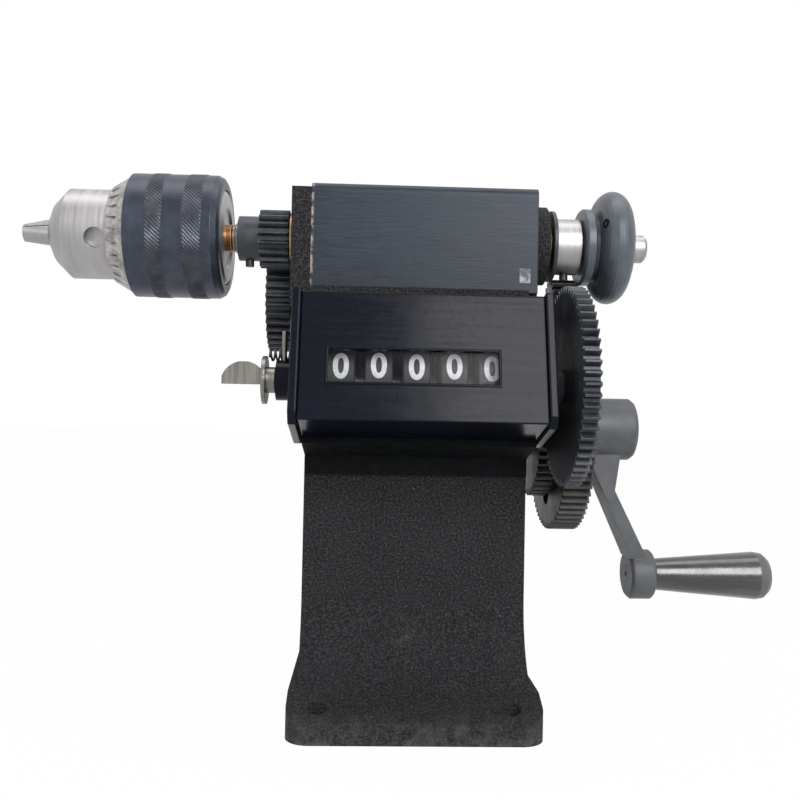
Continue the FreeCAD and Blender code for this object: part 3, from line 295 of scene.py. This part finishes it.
def enamel(name, dark, light, rough, grain_depth, chips):
    """Sprayed paint with orange peel, and chips down to the metal on the edges."""
    paint = Finish(name, Specular_IOR_Level=0.5)
    peel, clouds = paint.noise(900, 3, 0.6), paint.noise(150, 5, 0.6)
    specks = paint.remap(paint.noise(1300, 5, 0.8), 0.62, 0.76, 0.0, 0.5)
    base = paint.mix(specks, paint.clouded(clouds, dark, light), brighter(light, 2.2))
    base = paint.mix(paint.worn(0.3 * MM, chips), base, (0.36, 0.35, 0.33))
    paint.give(Base_Color=base, Roughness=paint.spread(clouds, rough - 0.06, rough + 0.10))
    return paint.relief([(clouds, 0.3 * grain_depth), (peel, grain_depth)], 0.6 * MM)


# How far the chuck's bare, toothed key ring reaches along its sleeve
KEY_RING_LENGTH, KEY_RING_SOFT = 6.4 * MM, 0.2 * MM


def blued_sleeve():
    """Blued steel with rubbed edges; the key ring at its front is bare and tarnished."""
    steel = Finish("blued_steel", Metallic=0.5, Specular_IOR_Level=0.35)
    rings, clouds = steel.noise(800, 3, 0.6, (1, 0.05, 0.05)), steel.noise(120, 5, 0.6)
    base = steel.clouded(clouds, (0.028, 0.034, 0.050), (0.050, 0.059, 0.081))
    base = steel.mix(steel.worn(0.3 * MM, 0.5), base, (0.30, 0.31, 0.34))
    ring_end = SLEEVE_START + KEY_RING_LENGTH
    bare = steel.remap(steel.along("X"), ring_end - KEY_RING_SOFT, ring_end + KEY_RING_SOFT, 1.0, 0.0)
    tarnish = steel.clouded(steel.noise(300, 5, 0.7), (0.20, 0.19, 0.185), (0.50, 0.48, 0.46))
    steel.give(Base_Color=steel.mix(bare, base, tarnish), Roughness=steel.spread(clouds, 0.30, 0.44))
    return steel.relief([(rings, 0.03 * MM), (clouds, 0.08 * MM)], 0.3 * MM)


def knurled():
    """The knurled bands: dark in the grooves, worn brighter on the points."""
    steel = Finish("knurled_steel", Metallic=0.7)
    base = steel.clouded(steel.noise(200, 5, 0.6), (0.026, 0.030, 0.040), (0.055, 0.061, 0.074))
    base = steel.mix(steel.worn(0.12 * MM, 0.6), base, (0.15, 0.157, 0.175))
    steel.give(Base_Color=base, Roughness=steel.spread(steel.noise(500), 0.28, 0.46))
    return steel.material


# Where the grip's matt end fades in, from its end
MATT_END, MATT_SOFT = 6 * MM, 0.5 * MM


def lacquered_grip():
    """Polished black lacquer with faint wear lines; its domed end is rubbed matt."""
    grip = Finish("grip_lacquer", Specular_IOR_Level=0.6, Coat_Weight=0.4, Coat_Roughness=0.12)
    lines, clouds = grip.noise(500, 4, 0.6, (0.05, 1, 1)), grip.noise(160, 5, 0.65)
    base = grip.mix(grip.remap(lines, 0.45, 0.7), (0.016, 0.016, 0.018), (0.050, 0.049, 0.052))
    matt_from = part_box("crank_grip")[1].x - MATT_END
    end = grip.remap(grip.along("X"), matt_from - MATT_SOFT, matt_from + MATT_SOFT)
    base = grip.mix(end, base, (0.075, 0.074, 0.078))
    gloss = grip.spread(clouds, 0.16, 0.34)
    rough = grip.math("ADD", gloss, grip.math("MULTIPLY", end, 0.3))
    grip.give(Base_Color=base, Roughness=rough)
    return grip.relief([(clouds, 0.12 * MM), (lines, 0.04 * MM)], 0.3 * MM)


def moulded_black():
    """Glossy moulded plastic with hairline scratches, dust and faint unevenness."""
    plastic = Finish("black_plastic", Specular_IOR_Level=0.1)
    dust, waves = plastic.noise(900, 6, 0.8), plastic.noise(38, 3, 0.5)
    scratches = plastic.noise(260, 2, 0.5, (0.12, 1, 4))
    base = plastic.mix(plastic.remap(waves, 0.3, 0.7), (0.002, 0.003, 0.007), (0.005, 0.006, 0.012))
    base = plastic.mix(plastic.remap(dust, 0.66, 0.80, 0.0, 0.16), base, (0.10, 0.10, 0.11))
    rough = plastic.math("ADD", plastic.remap(scratches, 0.45, 0.75, 0.0, 0.08),
                         plastic.remap(dust, 0.4, 0.7, 0.13, 0.24))
    plastic.give(Base_Color=base, Roughness=rough)
    return plastic.relief([(waves, 0.18 * MM)], 0.5 * MM)


def printed_wheel():
    """Dull black drum behind the window, lightly scuffed round its rim."""
    drum = Finish("number_wheel", Specular_IOR_Level=0.35)
    scuffs, clouds = drum.noise(420, 5, 0.7, (1, 0.3, 0.3)), drum.noise(110, 4, 0.6)
    base = drum.clouded(clouds, (0.016, 0.017, 0.021), (0.036, 0.037, 0.044))
    base = drum.mix(drum.remap(scuffs, 0.58, 0.74, 0.0, 0.4), base, (0.10, 0.095, 0.095))
    drum.give(Base_Color=base, Roughness=drum.spread(scuffs, 0.40, 0.62))
    return drum.relief([(scuffs, 0.05 * MM)], 0.2 * MM)


def printed_white():
    """White printing ink, a little uneven."""
    ink = Finish("white_ink", Specular_IOR_Level=0.3)
    cloud = ink.noise(900, 4, 0.6)
    base = ink.mix(ink.remap(cloud, 0.3, 0.6), (0.66, 0.67, 0.70), (0.88, 0.89, 0.91))
    ink.give(Base_Color=base, Roughness=ink.spread(cloud, 0.42, 0.60))
    return ink.material


def clear_pane():
    """Thin clear window with a few smears."""
    pane = Finish("clear_pane", Alpha=0.07, Specular_IOR_Level=0.5)
    smears = pane.noise(150, 4, 0.6, (0.4, 1, 1))
    pane.give(Base_Color=pane.mix(smears, (0.02, 0.022, 0.026), (0.10, 0.10, 0.11)),
              Roughness=pane.remap(smears, 0.35, 0.7, 0.04, 0.20))
    return pane.material


def dull_black():
    """Flat black: painted shade on the counter's bracket, darker than its sheet, for the shadow under
    the counter; the pulley's screw is also this black.
    """
    paint = Finish("dull_black", Specular_IOR_Level=0.06)
    cloud = paint.noise(300, 5, 0.65)
    base = paint.clouded(cloud, (0.003, 0.0035, 0.004), (0.008, 0.009, 0.010))
    paint.give(Base_Color=base, Roughness=paint.spread(cloud, 0.6, 0.85))
    return paint.relief([(cloud, 0.1 * MM)], 0.4 * MM)


FINISHES = {
    "cast_iron": cast_iron(),
    "black_sheet": black_sheet(),
    "bronze": lathe_metal("bronze", (0.30, 0.19, 0.09), (0.55, 0.38, 0.19), 0.36, grime=0.5),
    "bright_steel": lathe_metal(
        "bright_steel", (0.31, 0.30, 0.30), (0.48, 0.47, 0.475), 0.42, grime=0.08),
    "dark_steel": oiled_steel(
        "dark_steel", (0.022, 0.025, 0.030), (0.055, 0.060, 0.070), 0.44, shine=0.4),
    "blue_grey_paint": enamel(
        "blue_grey_paint", (0.050, 0.060, 0.074), (0.078, 0.092, 0.112), 0.36, 0.02 * MM, chips=0.5),
    "brown_steel": oiled_steel(
        "brown_steel", (0.026, 0.024, 0.023), (0.056, 0.051, 0.048), 0.48, shine=0.3),
    "blued_steel": blued_sleeve(),
    "copper_plate": lathe_metal(
        "copper_plate", (0.34, 0.17, 0.08), (0.66, 0.38, 0.20), 0.32, grime=0.4),
    "nickel": lathe_metal("nickel", (0.17, 0.16, 0.148), (0.30, 0.285, 0.265), 0.34, grime=0.2),
    "grey_paint": enamel(
        "grey_paint", (0.055, 0.060, 0.066), (0.085, 0.091, 0.099), 0.48, 0.05 * MM, chips=0.4),
    "grip_lacquer": lacquered_grip(),
    "black_plastic": moulded_black(),
    "clear_pane": clear_pane(),
    "number_wheel": printed_wheel(),
    "spring_wire": oiled_steel(
        "spring_wire", (0.020, 0.020, 0.024), (0.050, 0.050, 0.056), 0.34, shine=0.7),
}
SHADE_AND_SCREW_BLACK = dull_black()
# Painted shade: the counter's bracket takes this flat black instead of its sheet finish, for the
# shadow that falls under the counter
PAINTED_SHADE_FINISHES = {"counter_bracket": SHADE_AND_SCREW_BLACK}
KNURLED = knurled()
INK = printed_white()


# Small pieces that ride on the CAD ones

def piece(name, mesh, like, finish, smooth=False):
    """Links a finished bmesh as an object that rides on the body of a CAD node."""
    data = bpy.data.meshes.new(name)
    bmesh.ops.recalc_face_normals(mesh, faces=mesh.faces)
    mesh.to_mesh(data)
    mesh.free()
    for face in data.polygons:
        face.use_smooth = smooth
    obj = bpy.data.objects.new(name, data)
    bpy.context.scene.collection.objects.link(obj)
    data.materials.append(finish)
    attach(obj, NODES[like]["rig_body"])
    return obj


def round_x(centre, x, radius, angle):
    """Point on a circle about an axis along X; the angle runs from +Z towards -Y."""
    return Vector((x, centre.y - radius * math.sin(angle), centre.z + radius * math.cos(angle)))


def bridge(mesh, here, there):
    """Quads between two rings of as many points."""
    for step in range(len(here)):
        after = (step + 1) % len(here)
        mesh.faces.new((here[step], here[after], there[after], there[step]))


# Knurling: points round the sleeve, length of a diamond, and heights over the CAD sleeve
KNURLS = 200
KNURL_LENGTH = 1.3 * MM
CREST, GROOVE, UNDERSIDE = 0.20 * MM, 0.02 * MM, -0.5 * MM


def knurl_band(name, start, end):
    """Band of diamond knurling on the chuck's sleeve: a closed ring of small pyramids."""
    low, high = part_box("chuck_sleeve")
    radius = (high.z - low.z) / 2
    rows = 2 * round((end - start) / KNURL_LENGTH) + 1
    mesh = bmesh.new()

    def ring(x, heights):
        return [mesh.verts.new(round_x(SPINDLE, x, radius + height, 2 * math.pi * step / KNURLS))
                for step, height in enumerate(heights)]

    rings = []
    for row in range(rows):
        inside = 0 < row < rows - 1
        rings.append(ring(start + (end - start) * row / (rows - 1),
                          [CREST if inside and (row + step) % 2 == 0 else GROOVE
                           for step in range(KNURLS)]))
    rings += [ring(end, [UNDERSIDE] * KNURLS), ring(start, [UNDERSIDE] * KNURLS)]
    for here, there in zip(rings, rings[1:] + rings[:1]):
        bridge(mesh, here, there)
    return piece(name, mesh, "chuck_sleeve", KNURLED)


# The arbor's thread; its ridge is (across, out) in shares of the pitch, sunk a little into the core
THREAD_RADIUS, THREAD_PITCH, THREAD_GAP = 4.4 * MM, 0.6 * MM, 0.1 * MM
RIDGE = ((-0.42, 0.0), (-0.1, 0.42), (0.1, 0.42), (0.42, 0.0))
RIDGE_SUNK = 0.06
STEPS_PER_TURN = 28


def arbor_thread():
    """Screw thread on the part of the arbor that shows behind the chuck, as one helical ridge."""
    centre = middle("chuck_arbor")
    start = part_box("chuck_rear_disc")[1].x + THREAD_GAP
    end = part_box("arbor_nut")[0].x - THREAD_GAP
    steps = int((end - start) / THREAD_PITCH * STEPS_PER_TURN)
    mesh = bmesh.new()
    rings = []
    for step in range(steps + 1):
        turns = step / STEPS_PER_TURN
        rings.append([mesh.verts.new(round_x(centre, start + THREAD_PITCH * (turns + across),
                                             THREAD_RADIUS + THREAD_PITCH * (out - RIDGE_SUNK),
                                             2 * math.pi * turns)) for across, out in RIDGE])
    for here, there in zip(rings, rings[1:]):
        bridge(mesh, here, there)
    mesh.faces.new(rings[0])
    mesh.faces.new(rings[-1])
    return piece("arbor_thread", mesh, "chuck_arbor", FINISHES["copper_plate"])


# Screw ends: points round them, their bevelled edge, and their socket as shares of the screw
SCREW_POINTS = 24
BEVEL_IN, BEVEL_DOWN = 0.15 * MM, 0.12 * MM
SOCKET_WIDE, SOCKET_DEEP = 0.56, 0.8


def hex_socket(name, like, place, outward, radius, sunk, finish):
    """Round screw end with a hexagonal recess, facing outward at a place on a surface."""
    mesh = bmesh.new()
    turn = outward.to_track_quat("Z", "Y").to_matrix()

    def ring(count, size, height):
        angles = [2 * math.pi * (step + 0.5) / count for step in range(count)]
        corners = [Vector((size * math.cos(angle), size * math.sin(angle), height))
                   for angle in angles]
        return [mesh.verts.new(place + turn @ corner) for corner in corners]

    foot, edge = ring(SCREW_POINTS, radius, -sunk), ring(SCREW_POINTS, radius, -BEVEL_DOWN)
    top = ring(SCREW_POINTS, radius - BEVEL_IN, 0.0)
    rim = ring(6, radius * SOCKET_WIDE, 0.0)
    floor = ring(6, radius * SOCKET_WIDE, -SOCKET_DEEP * sunk)
    for here, there in ((foot, edge), (edge, top), (rim, floor)):
        bridge(mesh, here, there)
    per_side = SCREW_POINTS // 6
    for side in range(6):
        first = per_side * side + per_side // 2
        outer = [top[(first + more) % SCREW_POINTS] for more in range(per_side + 1)]
        mesh.faces.new([rim[side], *outer, rim[(side + 1) % 6]])
    mesh.faces.new(floor)
    mesh.faces.new(foot)
    return piece(name, mesh, like, finish)


# The pulley's rim, from the pulley's left end, and where round its curve the screw sits
RIM_START, RIM_HALF_WIDTH, RIM_HEIGHT = 5.2 * MM, 5.4 * MM, 6.2 * MM
SCREW_ROUND, SCREW_LIFT = math.radians(24), math.radians(20)
SCREW_PROUD = 0.2 * MM


def pulley_screw():
    """Socket screw in the left curve of the pulley's rim, towards the operator."""
    low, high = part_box("drive_pulley")
    outward = Vector((0, -math.cos(SCREW_LIFT), math.sin(SCREW_LIFT)))
    along = low.x + RIM_START + RIM_HALF_WIDTH * (1 - math.cos(SCREW_ROUND))
    radius = high.z - SPINDLE.z - RIM_HEIGHT * (1 - math.sin(SCREW_ROUND))
    place = Vector((along, SPINDLE.y, SPINDLE.z)) + outward * radius
    facing = (outward * math.sin(SCREW_ROUND) / RIM_HEIGHT
              - Vector((math.cos(SCREW_ROUND) / RIM_HALF_WIDTH, 0, 0))).normalized()
    return hex_socket("pulley_screw", "drive_pulley", place + facing * SCREW_PROUD, facing,
                      1.6 * MM, 1.6 * MM, SHADE_AND_SCREW_BLACK)


def set_screw_socket(screw):
    """Socket in the lower end of a set screw that the CAD has as a plain pin."""
    tip = middle(screw)
    tip.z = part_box(screw)[0].z - 0.02 * MM
    return hex_socket(screw + "_socket", screw, tip, Vector((0, 0, -1)), 1.45 * MM, 0.9 * MM,
                      FINISHES["dark_steel"])


# Printed figures: size, share of the width that a 1 takes, thickening of the font's outline,
# height over the wheel, and the strips that let a figure bend round it
FIGURE_TALL, FIGURE_WIDE, NARROW = 8.0 * MM, 4.7 * MM, 0.62
BOLD = 0.028
INK_HEIGHT = 0.07 * MM
STRIPS = 8


def numeral(name, figure, node, angle):
    """One printed figure, bent round a number wheel's rim."""
    low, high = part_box(node)
    centre, radius = middle(node), (high.y - low.y) / 2 + INK_HEIGHT
    curve = bpy.data.curves.new(name, "FONT")
    curve.body = figure
    curve.resolution_u = 5
    curve.offset = BOLD
    text = bpy.data.objects.new(name, curve)
    flat = bpy.data.meshes.new_from_object(text)
    bpy.data.objects.remove(text)
    mesh = bmesh.new()
    mesh.from_mesh(flat)
    bpy.data.meshes.remove(flat)
    lows = [min(vert.co[axis] for vert in mesh.verts) for axis in (0, 1)]
    highs = [max(vert.co[axis] for vert in mesh.verts) for axis in (0, 1)]
    sizes = (FIGURE_WIDE * (NARROW if figure == "1" else 1.0), FIGURE_TALL)
    for vert in mesh.verts:
        for axis in (0, 1):
            share = (vert.co[axis] - lows[axis]) / (highs[axis] - lows[axis])
            vert.co[axis] = (share - 0.5) * sizes[axis]
    for strip in range(1, STRIPS):
        bmesh.ops.bisect_plane(mesh, geom=mesh.verts[:] + mesh.edges[:] + mesh.faces[:],
                               plane_co=(0, (strip / STRIPS - 0.5) * FIGURE_TALL, 0),
                               plane_no=(0, 1, 0))
    bmesh.ops.remove_doubles(mesh, verts=mesh.verts, dist=1e-6)
    for vert in mesh.verts:
        vert.co = round_x(centre, centre.x + vert.co.x, radius, angle - vert.co.y / radius)
    return piece(name, mesh, node, INK, smooth=True)


# The moulding round the window: the counter's face from its shaft, half of the window's height,
# and the moulding's section as millimetres out from the window and off the face
FACE_OUT, WINDOW_HALF = 22 * MM, 4.9 * MM
LIP = ((0.0, -0.6), (0.0, 0.22), (0.35, 0.30), (0.75, 0.22), (0.9, -0.2))


def window_lip():
    """Thin raised moulding round the counter's window."""
    low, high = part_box("counter_window")
    centre = middle("counter_window")
    centre -= FACE * (centre - COUNTER - FACE * FACE_OUT).dot(FACE)
    half_wide = (high.x - low.x) / 2
    mesh = bmesh.new()
    rings = []
    for out, height in LIP:
        across = Vector((half_wide + out * MM, 0, 0))
        up = RISE * (WINDOW_HALF + out * MM)
        rings.append([mesh.verts.new(centre + FACE * height * MM + corner)
                      for corner in (-across - up, across - up, across + up, up - across)])
    for here, there in zip(rings, rings[1:] + rings[:1]):
        bridge(mesh, here, there)
    return piece("window_lip", mesh, "counter_body", FINISHES["black_plastic"])


knurl_band("knurl_front", SLEEVE_START + 13.2 * MM, SLEEVE_START + 18.9 * MM)
knurl_band("knurl_rear", SLEEVE_START + 25.2 * MM, SLEEVE_START + 31.6 * MM)
arbor_thread()
pulley_screw()
set_screw_socket("pinion_set_screw")
set_screw_socket("collar_set_screw")
window_lip()

# Degrees that each wheel's figures stand off the middle of the window, as the photographed ones do
WINDOW_ANGLE = math.pi / 2 - LEAN
DRIFTS = {"units": 0.6, "tens": -0.9, "hundreds": 0.4, "thousands": -0.5, "ten_thousands": 0.8}
for word, drift in DRIFTS.items():
    for figure in range(10):
        numeral("numeral_%s_%d" % (word, figure), str(figure), "number_wheel_" + word,
                WINDOW_ANGLE + math.radians(drift) + 2 * math.pi * figure / 10)


# Finishes for the CAD pieces, with edges softened by a radius in millimetres where the real
# piece is moulded, cast or stamped

ROUNDED = {"frame_casting": 0.9, "counter_body": 0.5, "counter_end_plate_left": 0.5,
           "counter_end_plate_right": 0.5, "crank_arm": 1.0, "reset_wing": 0.2}
for part in frame["record"]["subparts"]:
    obj = NODES[part["node"]]
    # A node listed here takes painted shade instead of its slot's finish
    finish = PAINTED_SHADE_FINISHES.get(part["node"], FINISHES[part["material_slot"]])
    obj.material_slots[0].material = finish
    if part["node"] in ROUNDED:
        obj.modifiers.new("weld", "WELD").merge_threshold = 1e-6
        bevel = obj.modifiers.new("bevel", "BEVEL")
        bevel.width, bevel.segments = ROUNDED[part["node"]] * MM, 3
        bevel.limit_method, bevel.angle_limit = "ANGLE", math.radians(50)
        obj.modifiers.new("normals", "WEIGHTED_NORMAL").keep_sharp = True


# Studio: pale floor, white surroundings, soft lights from the right, the left and above

def shown_white(tree):
    """One for what the camera, a mirror or glass sees directly, nought for light on things."""
    path = tree.nodes.new("ShaderNodeLightPath")
    seen = path.outputs["Is Camera Ray"]
    for kind in ("Is Glossy Ray", "Is Transmission Ray"):
        node = tree.nodes.new("ShaderNodeMath")
        node.operation = "MAXIMUM"
        tree.links.new(seen, node.inputs[0])
        tree.links.new(path.outputs[kind], node.inputs[1])
        seen = node.outputs[0]
    return seen


def surroundings(strength):
    """White all round; what it sheds on things is weaker than what is seen."""
    world = bpy.data.worlds.new("studio")
    world.use_nodes = True
    tree = world.node_tree
    background = tree.nodes["Background"]
    background.inputs["Color"].default_value = (1, 1, 1, 1)
    level = tree.nodes.new("ShaderNodeMapRange")
    level.inputs["To Min"].default_value = strength
    tree.links.new(shown_white(tree), level.inputs["Value"])
    tree.links.new(level.outputs[0], background.inputs["Strength"])
    bpy.context.scene.world = world


def pale_floor(half, share):
    """Floor that keeps a soft shadow; the share of it that glows meets the surroundings."""
    mesh = bmesh.new()
    bmesh.ops.create_grid(mesh, x_segments=2, y_segments=2, size=half)
    data = bpy.data.meshes.new("floor")
    mesh.to_mesh(data)
    mesh.free()
    floor = bpy.data.objects.new("floor", data)
    bpy.context.scene.collection.objects.link(floor)
    floor.location.z = -0.2 * MM
    material = bpy.data.materials.new("floor")
    material.use_nodes = True
    tree = material.node_tree
    shader = tree.nodes["Principled BSDF"]
    shader.inputs["Base Color"].default_value = (0.86, 0.86, 0.86, 1)
    shader.inputs["Roughness"].default_value = 0.9
    shader.inputs["Specular IOR Level"].default_value = 0.1
    glow = tree.nodes.new("ShaderNodeEmission")
    blend = tree.nodes.new("ShaderNodeMixShader")
    amount = tree.nodes.new("ShaderNodeMath")
    amount.operation = "MULTIPLY"
    amount.inputs[1].default_value = share
    tree.links.new(shown_white(tree), amount.inputs[0])
    tree.links.new(amount.outputs[0], blend.inputs[0])
    tree.links.new(shader.outputs[0], blend.inputs[1])
    tree.links.new(glow.outputs[0], blend.inputs[2])
    tree.links.new(blend.outputs[0], tree.nodes["Material Output"].inputs["Surface"])
    data.materials.append(material)


def softbox(name, place, width, height, power):
    """Rectangular lamp that looks at the middle of the machine."""
    lamp = bpy.data.lights.new(name, "AREA")
    lamp.shape, lamp.size, lamp.size_y, lamp.energy = "RECTANGLE", width, height, power
    obj = bpy.data.objects.new(name, lamp)
    bpy.context.scene.collection.objects.link(obj)
    obj.location = place
    obj.rotation_euler = (TARGET - Vector(place)).to_track_quat("-Z", "Y").to_euler()


def take_photo_view():
    """Camera of the photograph: in front, a little left of the middle, tipped slightly."""
    place = Vector((-16, -305, 93.3)) * MM
    yaw, pitch, roll = math.radians(2.14), math.radians(1.36), math.radians(1.14)
    ahead = Vector((math.sin(yaw) * math.cos(pitch), math.cos(yaw) * math.cos(pitch),
                    math.sin(pitch)))
    level = Vector((math.cos(yaw), -math.sin(yaw), 0))
    right = level * math.cos(roll) + level.cross(ahead) * math.sin(roll)
    turn = Matrix((right, right.cross(ahead), -ahead)).transposed()
    camera = bpy.data.objects.new("camera", bpy.data.cameras.new("camera"))
    bpy.context.scene.collection.objects.link(camera)
    camera.matrix_world = Matrix.Translation(place) @ turn.to_4x4()
    camera.data.sensor_width, camera.data.lens = 36, 39.8
    camera.data.clip_start, camera.data.clip_end = 0.01, 30
    bpy.context.scene.camera = camera


surroundings(strength=0.34)
pale_floor(half=6.0, share=0.98)
TARGET = Vector((0, 0, 0.09))
softbox("right_light", (0.29, -0.9, 0.55), width=0.42, height=0.6, power=8.6)
softbox("left_light", (-0.8, -0.7, 0.5), width=0.5, height=0.5, power=1.2)
softbox("top_light", (0.0, 0.0, 1.0), width=1.0, height=0.40, power=3.6)
take_photo_view()
bpy.context.scene.view_settings.view_transform = "Standard"
